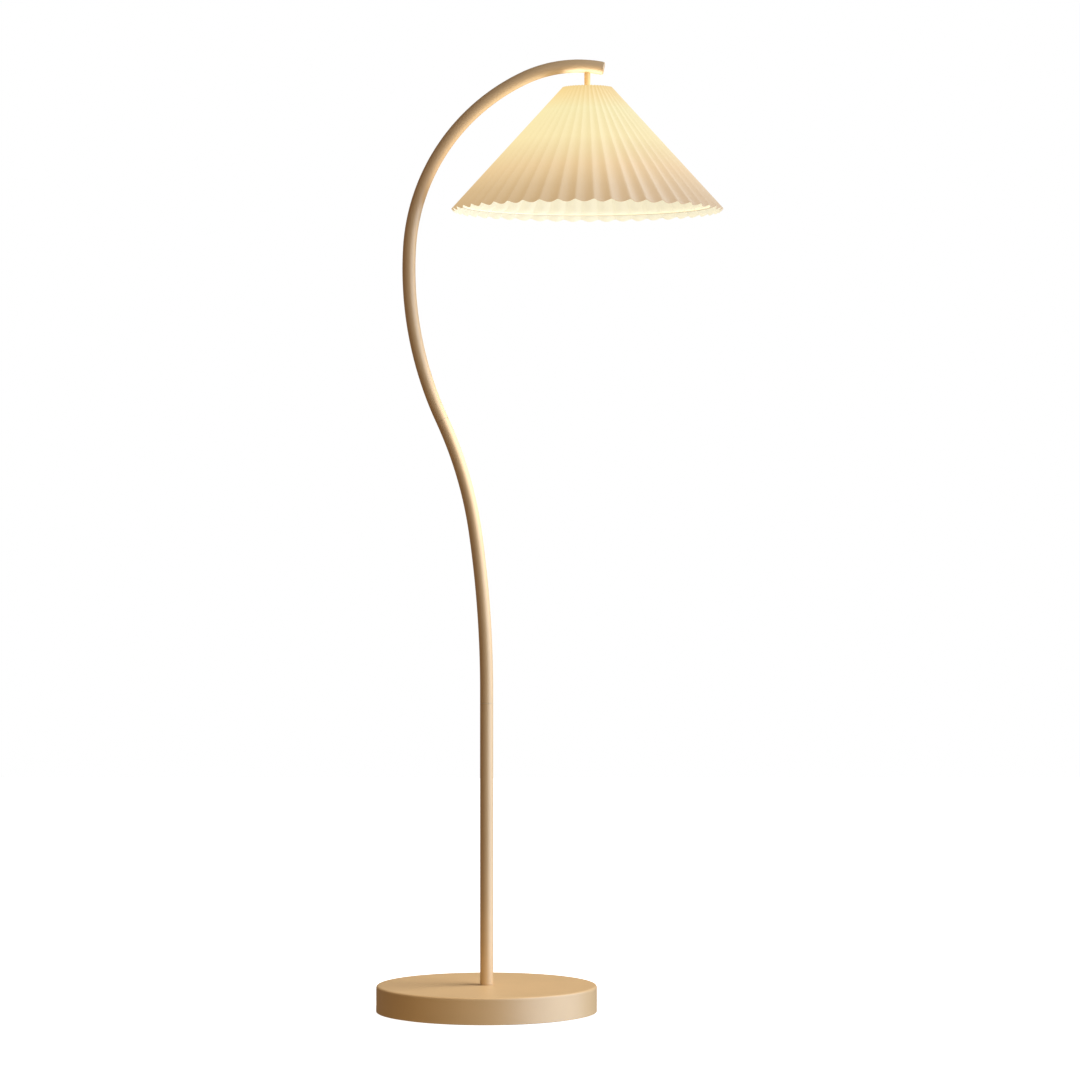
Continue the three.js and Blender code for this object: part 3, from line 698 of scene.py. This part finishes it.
def build_lampholder_skirt():
    """The body that the clamp ring screws onto, with a thread outside, below its flange."""

    def threaded(radius, turn, height):
        if abs(radius - SKIRT_RADIUS) > 0.01 or height > FLANGE_BOTTOM - 2:
            return radius
        return radius - 0.3 + 0.3 * math.cos(2 * math.pi * height / SKIRT_PITCH - turn)

    web = INSULATOR_TOP + TOUCHING
    skirt = [
        (SKIRT_BORE_RADIUS, SKIRT_BOTTOM, 0.5),
        (SKIRT_RADIUS, SKIRT_BOTTOM, 0.6),
        (SKIRT_RADIUS, FLANGE_BOTTOM, 0.3),
        (FLANGE_RADIUS, FLANGE_BOTTOM, 0.4),
        (FLANGE_RADIUS, FLANGE_TOP, 0.4),
        (6, FLANGE_TOP, 0.3),
        (6, web, 0.3),
        (SKIRT_BORE_RADIUS, web, 0.5),
    ]
    shape = turned_surface(filled_in(eased(skirt, 3), 0.6), 64, upright(STEM_X, threaded))
    add_piece("lampholder_skirt", *shape, WHITE_PLASTIC, "stand", "white_plastic", ["lampholder_body"])


def build_ring_nut():
    """The ring that clamps the shade's frame, with 24 grip notches in its rim."""

    def gripped(radius, turn, height):
        return radius - 0.9 * max(0.0, math.cos(24 * turn)) ** 3 if radius > 26 else radius

    top = SPIDER_BOTTOM - TOUCHING
    inner = SKIRT_RADIUS + TOUCHING
    ring = [
        (inner, top - 12, 0.4),
        (23, top - 12, 0.8),
        (23, top - 3, 0.5),
        (27, top - 3, 0.6),
        (27, top, 0.6),
        (inner, top, 0.4),
    ]
    shape = turned_surface(eased(ring, 3), 192, upright(STEM_X, gripped))
    add_piece("shade_ring_nut", *shape, WHITE_PLASTIC, "stand", "white_plastic", ["shade_clamp_ring"])


def build_screw_shell():
    """The brass thread that the bulb screws into."""

    def threaded(radius, turn, height):
        wave = 0.5 + 0.5 * math.cos(2 * math.pi * height / E27_PITCH - turn)
        return radius - 0.25 * wave if radius > 13.7 else radius + 0.25 * (1 - wave)

    shell = [
        (13.3, SKIRT_BOTTOM + 3, 0.15),
        (14, SKIRT_BOTTOM + 3, 0.15),
        (14, SHELL_TOP, 0.15),
        (13.3, SHELL_TOP, 0.15),
    ]
    shape = turned_surface(filled_in(eased(shell, 2), 0.6), 64, upright(STEM_X, threaded))
    add_piece("lampholder_thread", *shape, BRASS, "stand", "brass", ["screw_shell"])


# ---- Bulb ---------------------------------------------------------------------------------------------
def build_bulb():
    neck = BULB_CAP_RADIUS - 1.2
    turns = [math.radians(degrees) for degrees in range(-84, 37, 6)]
    globe = [(0.0, BULB_TIP - BULB_LENGTH)]
    globe += [(BULB_RADIUS * math.cos(turn), BULB_CENTRE + BULB_RADIUS * math.sin(turn)) for turn in turns]
    globe += [
        (20.3, BULB_TIP - 55.0),
        (16.6, BULB_TIP - 46.0),
        (13.6, BULB_TIP - 37.0),
        (12.2, BULB_TIP - 30.0),
        (neck, BULB_TIP - 26.0),
        (neck, BULB_TIP - 9.0),
        (0.0, BULB_TIP - 9.0),
    ]
    shape = turned_surface(globe, 96, upright(STEM_X))
    piece = add_piece("opal_globe", *shape, OPAL_GLASS, "bulb", "opal_glass", ["bulb_globe"])
    piece.visible_shadow = False  # the light inside it shines out

    def threaded(radius, turn, height):
        if radius < 12.9 or not BULB_TIP - 26 < height < BULB_TIP - 8:
            return radius
        return radius - 0.4 + 0.4 * math.cos(2 * math.pi * height / E27_PITCH - turn)

    inner = BULB_CAP_RADIUS - 0.9
    cap = [
        (inner, BULB_TIP - 27, 0.2),
        (BULB_CAP_RADIUS, BULB_TIP - 27, 0.3),
        (BULB_CAP_RADIUS, BULB_TIP - 7, 0.6),
        (10, BULB_TIP - 5, 0.5),
        (9, BULB_TIP - 5, 0.1),
        (9, BULB_TIP - 6, 0.1),
        (inner, BULB_TIP - 8, 0.2),
    ]
    shape = turned_surface(filled_in(eased(cap, 3), 0.6), 64, upright(STEM_X, threaded))
    add_piece("bulb_thread", *shape, ZINC_STEEL, "bulb", "zinc_steel", ["bulb_cap"])


# ---- Shade --------------------------------------------------------------------------------------------
SHADE_SLOPE = (SHADE_HEM_RADIUS - SHADE_TOP_RADIUS) / (SHADE_TOP - SHADE_HEM)
SLANT = math.hypot(1, SHADE_SLOPE)
SIDE_ANGLE_SINE = SHADE_SLOPE / SLANT


def fabric_inside_radius(height):
    """The radius of the inner face of the frame's fabric at the bottom of the inward folds."""
    outside = SHADE_TOP_RADIUS + SHADE_SLOPE * (SHADE_TOP - height)
    depth = PLEAT_DEPTH_AT_HEM * outside / SHADE_HEM_RADIUS + CAD_FABRIC_THICKNESS
    return outside - depth * SLANT


def fold_depth(share):
    """How far in the fabric lies, 0 to 1, at a share of the way from one ridge to the next. Ridges
    are crisp and the inward folds are round."""
    softness = 0.2
    wave = math.sqrt(math.sin(math.pi * share) ** 2 + softness**2)
    return (wave - softness) / (math.sqrt(1 + softness**2) - softness)


def fabric_columns():
    """The turn and the depth of each line of the fabric from the top edge to the hem. The last one
    closes the round. Ridges and depths differ a little from pleat to pleat."""
    random = np.random.default_rng(7)
    ridge_shift = random.uniform(-0.05, 0.05, PLEAT_COUNT)
    pleat_scale = random.uniform(0.9, 1.0, PLEAT_COUNT)
    columns = []
    for i in range(PLEAT_COUNT * FOLD_STEPS + 1):
        pleat = i // FOLD_STEPS % PLEAT_COUNT
        share = i % FOLD_STEPS / FOLD_STEPS
        shift = ridge_shift[pleat] * (1 - share) + ridge_shift[(pleat + 1) % PLEAT_COUNT] * share
        turn = 2 * math.pi * (i / FOLD_STEPS + shift) / PLEAT_COUNT + math.radians(FIRST_RIDGE)
        columns.append((turn, PLEAT_DEPTH_AT_HEM * fold_depth(share) * pleat_scale[pleat]))
    return columns


def fabric_point(turn, depth, share, offset):
    """A point at a share of the way from the top edge to the hem, and offset inward from the outer
    face."""
    radius = SHADE_TOP_RADIUS + (SHADE_HEM_RADIUS - SHADE_TOP_RADIUS) * share
    height = SHADE_TOP - (SHADE_TOP - SHADE_HEM) * share
    sunk = depth * radius / SHADE_HEM_RADIUS + offset
    radius -= sunk / SLANT
    height -= sunk * SHADE_SLOPE / SLANT
    return (STEM_X + radius * math.cos(turn), radius * math.sin(turn), height)


def build_fabric():
    """One pleated sheet with an outer and an inner face, joined at the top edge and at the hem."""
    columns = fabric_columns()
    count = len(columns) - 1
    width = SLANT_STEPS + 1
    layer = count * width
    points = [
        fabric_point(turn, depth, j / SLANT_STEPS, offset)
        for offset in (0.0, FABRIC_THICKNESS)
        for turn, depth in columns[:count]
        for j in range(width)
    ]
    outside = []
    inside = []
    edges = []
    for i in range(count):
        here = i * width
        after = (i + 1) % count * width
        for j in range(SLANT_STEPS):
            outside.append([here + j, here + j + 1, after + j + 1, after + j])
            inside.append([layer + n + j for n in (here, after, after + 1, here + 1)])
        edges.append([here, after, layer + after, layer + here])
        edges.append([n + SLANT_STEPS for n in (here, layer + here, layer + after, after)])
    faces = outside + inside + edges
    look = (FABRIC_OUTSIDE, "shade", "shade_fabric", ["pleated_shade"])
    piece = add_piece("pleated_fabric", points, faces, *look, crease=75)
    piece.data.materials.append(FABRIC_INSIDE)
    indices = np.zeros(len(faces), np.int32)
    indices[len(outside) : len(outside) + len(inside)] = 1
    piece.data.polygons.foreach_set("material_index", indices)

    big = SHADE_HEM_RADIUS / SIDE_ANGLE_SINE * MM
    small = SHADE_TOP_RADIUS / SIDE_ANGLE_SINE * MM
    opening = lay_cut(piece.data, columns, big, small)


def lay_cut(mesh, columns, big, small):
    """Writes the flat cut to the UV map, in metres, and gives its opening angle. The cut is a
    sector between two distances from the cone's apex, as long at the hem as the pleated line
    there."""
    count = len(columns) - 1
    width = SLANT_STEPS + 1
    hem = np.array([fabric_point(turn, depth, 1.0, 0.0) for turn, depth in columns])
    lengths = np.concatenate([[0.0], np.cumsum(np.linalg.norm(np.diff(hem, axis=0), axis=1))])
    angles = lengths * MM / big
    slants = [small + (big - small) * j / SLANT_STEPS for j in range(width)]
    loop_uv = np.zeros((len(mesh.loops), 2), np.float32)
    for polygon in mesh.polygons:
        places = [mesh.loops[n].vertex_index % (count * width) for n in polygon.loop_indices]
        across = [place // width for place in places]
        wraps = max(across) - min(across) > count // 2
        for n, place, column in zip(polygon.loop_indices, places, across):
            angle = angles[count] if wraps and column == 0 else angles[column]
            slant = slants[place % width]
            loop_uv[n] = (slant * math.cos(angle), slant * math.sin(angle))
    mesh.uv_layers.new(name="cut").data.foreach_set("uv", loop_uv.ravel())
    return angles[count]


def wire_ring_radius(height):
    """The radius of a wire ring that lies along the fabric's inward folds, as the frame's does."""
    return fabric_inside_radius(height) - (WIRE_RADIUS + TOUCHING) * SLANT


def build_hem_wire():
    height = SHADE_HEM + HEM_WIRE_HEIGHT
    shape = tube_along(circle(wire_ring_radius(height), height, 192), WIRE_RADIUS, 14, closed=True)
    add_piece("shade_hem_wire", *shape, WIRE_PAINTED_GLOW, "shade", "white_wire", ["hem_ring"])


def circle(radius, height, count):
    turns = [2 * math.pi * i / count for i in range(count)]
    return [(STEM_X + radius * math.cos(turn), radius * math.sin(turn), height) for turn in turns]


def build_top_frame():
    """The wire ring under the fabric's top edge, three arms and the flat washer that the lampholder
    clamps."""
    ring_height = SHADE_TOP - TOP_WIRE_DEPTH
    ring_radius = wire_ring_radius(ring_height)
    hole = SKIRT_RADIUS + TOUCHING
    hub = [
        (hole, SPIDER_BOTTOM, 0.2),
        (26, SPIDER_BOTTOM, 0.3),
        (26, SPIDER_TOP, 0.3),
        (hole, SPIDER_TOP, 0.2),
    ]
    shapes = [
        turned_surface(eased(hub, 3), 64, upright(STEM_X)),
        tube_along(circle(ring_radius, ring_height, 96), WIRE_RADIUS, 14, closed=True),
    ]
    on_hub = np.array((24.4, SPIDER_TOP - 0.5))
    on_ring = np.array((ring_radius, ring_height))
    for degrees in (90, 210, 330):
        turn = math.radians(degrees)
        arm = [on_hub + (on_ring - on_hub) * share for share in (0, 0.25, 0.5, 0.75, 1)]
        path = [(STEM_X + out * math.cos(turn), out * math.sin(turn), height) for out, height in arm]
        shapes.append(tube_along(path, WIRE_RADIUS, 14))
    add_piece("shade_top_frame", *merged(*shapes), WIRE_PAINTED_GLOW, "shade", "white_wire", ["shade_spider"])


# ---- Materials of the pieces that keep the frame's shapes ---------------------------------------------
KEPT_LOOKS = {
    "zinc_steel": ZINC_STEEL,
    "cast_iron": CAST_IRON,
    "brass": BRASS,
    "black_plastic": BLACK_PLASTIC,
    "white_plastic": WHITE_PLASTIC,
    "white_ceramic": CERAMIC,
    "lead_jacket": LEAD_JACKET,
}


def dress_kept_nodes():
    for part in frame["record"]["subparts"]:
        kept = frame["nodes"][part["node"]]
        look = KEPT_LOOKS.get(part["material_slot"])
        if look and not kept.hide_render:
            kept.data.materials.clear()
            kept.data.materials.append(look)


# ---- Light, floor and camera ----------------------------------------------------------------------------
WALLS = [  # below, level and above
    (0.0, (0.2, 0.13, 0.07)),
    (0.5, (0.27, 0.185, 0.115)),
    (1.0, (0.2, 0.155, 0.115)),
]
WINDOW = (0.92, -0.28, 0.2)  # the way to the window
WINDOW_COLOUR = (2.2, 2.6, 3.1)
WINDOW_EDGE = (0.52, 0.94)  # cosines of the angles at its soft outer edge and at its full brightness


def build_world():
    """A white surround for the camera. The lamp itself stands in a dim warm room with one large
    soft window."""
    world = bpy.data.worlds.new("studio")
    bpy.context.scene.world = world
    world.use_nodes = True
    tree = world.node_tree
    tree.nodes.clear()
    direction = node(tree, "ShaderNodeTexCoord").outputs["Generated"]
    parts = node(tree, "ShaderNodeSeparateXYZ")
    tree.links.new(direction, parts.inputs["Vector"])
    walls = ramp(tree, between(tree, parts.outputs["Z"], 0, 1, -1, 1), WALLS)
    facing = node(tree, "ShaderNodeVectorMath", operation="DOT_PRODUCT")
    facing.inputs[1].default_value = Vector(WINDOW).normalized()
    tree.links.new(direction, facing.inputs[0])
    soft = node(tree, "ShaderNodeMapRange", interpolation_type="SMOOTHSTEP")
    for key, value in zip(("From Min", "From Max", "To Min", "To Max"), (*WINDOW_EDGE, 0.0, 1.0)):
        soft.inputs[key].default_value = value
    tree.links.new(facing.outputs["Value"], soft.inputs["Value"])
    room = node(tree, "ShaderNodeBackground", {"Strength": 1.0})
    tree.links.new(walls, room.inputs["Color"])
    window = node(tree, "ShaderNodeBackground", {"Color": (*WINDOW_COLOUR, 1.0)})
    tree.links.new(soft.outputs["Result"], window.inputs["Strength"])
    both = node(tree, "ShaderNodeAddShader")
    tree.links.new(room.outputs["Background"], both.inputs[0])
    tree.links.new(window.outputs["Background"], both.inputs[1])
    white = node(tree, "ShaderNodeBackground", {"Color": (1, 1, 1, 1), "Strength": 1.0})
    mix = node(tree, "ShaderNodeMixShader")
    seen = node(tree, "ShaderNodeLightPath").outputs["Is Camera Ray"]
    output = node(tree, "ShaderNodeOutputWorld")
    tree.links.new(seen, mix.inputs["Fac"])
    tree.links.new(both.outputs["Shader"], mix.inputs[1])
    tree.links.new(white.outputs["Background"], mix.inputs[2])
    tree.links.new(mix.outputs["Shader"], output.inputs["Surface"])


def add_light(name, kind, place, watts, colour, mirrored=False, **settings):
    """A light at a place in metres. Only a mirrored one shows as a highlight."""
    light = bpy.data.lights.new(name, kind)
    light.energy = watts
    light.color = colour
    for key, value in settings.items():
        setattr(light, key, value)
    lamp = bpy.data.objects.new(name, light)
    lamp.location = place
    lamp.visible_camera = False
    lamp.visible_glossy = mirrored
    bpy.context.scene.collection.objects.link(lamp)
    return lamp


def add_spot(name, place, target, watts, colour, angle, **settings):
    lamp = add_light(name, "SPOT", place, watts, colour, spot_size=math.radians(angle), **settings)
    lamp.rotation_euler = (Vector(target) - Vector(place)).to_track_quat("-Z", "Y").to_euler()


def on_lamp_axis(height):
    """A place on the shade's axis, in metres, at a height in millimetres."""
    return (STEM_X * MM, 0.0, height * MM)


def build_bulb_light():
    """The bulb's light inside the shade, on the base, out of the shade's top onto the arm, and the
    glow of the fabric on the arm's curve."""
    in_bulb = on_lamp_axis(BULB_CENTRE)
    add_light("light_in_bulb", "POINT", in_bulb, 0.75, (1.0, 0.83, 0.54), shadow_soft_size=0.028)
    below_bulb = on_lamp_axis(BULB_TIP - BULB_LENGTH - 8)
    cone = {"spot_size": math.radians(64), "spot_blend": 1.0, "shadow_soft_size": 0.1}
    down = add_light("light_down", "SPOT", below_bulb, 44.0, (1.0, 0.93, 0.8), **cone)
    down.rotation_euler = (0.0, math.radians(7.5), 0.0)
    ring = {"shape": "DISK", "size": 2 * 0.85 * SHADE_TOP_RADIUS * MM, "spread": 1.6}
    top_opening = on_lamp_axis(SHADE_TOP + 1)
    on_arm = add_light("light_on_arm", "AREA", top_opening, 0.026, (1.0, 0.93, 0.78), True, **ring)
    on_arm.rotation_euler = (math.pi, 0.0, 0.0)
    beside_shade = ((STEM_X - 146) * MM, 0.0, (SHADE_HEM + 112) * MM)
    panel = {"shape": "RECTANGLE", "size": 0.24, "size_y": 0.08}
    glow = add_light("light_on_curve", "AREA", beside_shade, 0.07, (1.0, 0.95, 0.85), True, **panel)
    glow.rotation_euler = (0.0, math.radians(132.4), 0.0)


def build_base_light():
    """A soft spot from the upper right on the base, and a low warm one on its front side, as off
    the floor."""
    from_right = {"spot_blend": 0.5, "shadow_soft_size": 0.25}
    place, target = (1.1, -1.0, 2.3), (-0.01, 0.0, 0.03)
    add_spot("light_on_base", place, target, 36.0, (1.0, 0.95, 0.88), 11, **from_right)
    off_floor = {"spot_blend": 0.3, "shadow_soft_size": 0.1}
    place, target = (-0.3, -1.2, 0.06), (0.0, 0.0, -0.1)
    add_spot("light_off_floor", place, target, 7.5, (1.0, 0.72, 0.2), 24, **off_floor)


FLOOR_HALF_WIDTH = 6.0
FLOOR_LEVEL = -0.0005  # just under the foam pad


def build_floor():
    """A pale floor, bright enough to run into the white surround."""
    corners = [(x, y, FLOOR_LEVEL) for x, y in ((-1, -1), (1, -1), (1, 1), (-1, 1))]
    corners = [(x * FLOOR_HALF_WIDTH, y * FLOOR_HALF_WIDTH, z) for x, y, z in corners]
    mesh = bpy.data.meshes.new("floor")
    mesh.from_pydata(corners, [], [(0, 1, 2, 3)])
    floor = bpy.data.objects.new("floor", mesh)
    bpy.context.scene.collection.objects.link(floor)
    material, tree, shader = new_material("floor_paper")
    place = node(tree, "ShaderNodeTexCoord").outputs["Object"]
    paper = ramp(tree, noise(tree, place, 3.0), greys((0.4, 0.88), (0.6, 0.9)))
    tree.links.new(paper, shader.inputs["Base Color"])
    shader.inputs["Roughness"].default_value = 0.9
    shader.inputs["Specular IOR Level"].default_value = 0.1
    shader.inputs["Emission Color"].default_value = (1, 1, 1, 1)
    shader.inputs["Emission Strength"].default_value = 1.0
    material.cycles.emission_sampling = "NONE"
    mesh.materials.append(material)
    floor.visible_diffuse = False
    floor.visible_glossy = False


def build_camera():
    """The photograph's view: from the front, a little above the middle and looking slightly
    down."""
    camera = bpy.data.objects.new("camera", bpy.data.cameras.new("camera"))
    bpy.context.scene.collection.objects.link(camera)
    camera.data.sensor_width = 36.0
    camera.data.lens = 131.9
    camera.data.clip_end = 100.0
    camera.location = (0.0899, -6.66, 0.8306)
    camera.rotation_euler = (math.radians(90 - 0.311), 0, 0)
    bpy.context.scene.camera = camera


bpy.context.scene.view_settings.view_transform = "Standard"
build_camera()
build_world()
build_bulb_light()
build_base_light()
build_floor()
build_base()
build_pole()
build_stem()
build_lampholder_dome()
build_lampholder_skirt()
build_ring_nut()
build_screw_shell()
build_bulb()
build_fabric()
build_top_frame()
build_hem_wire()
dress_kept_nodes()
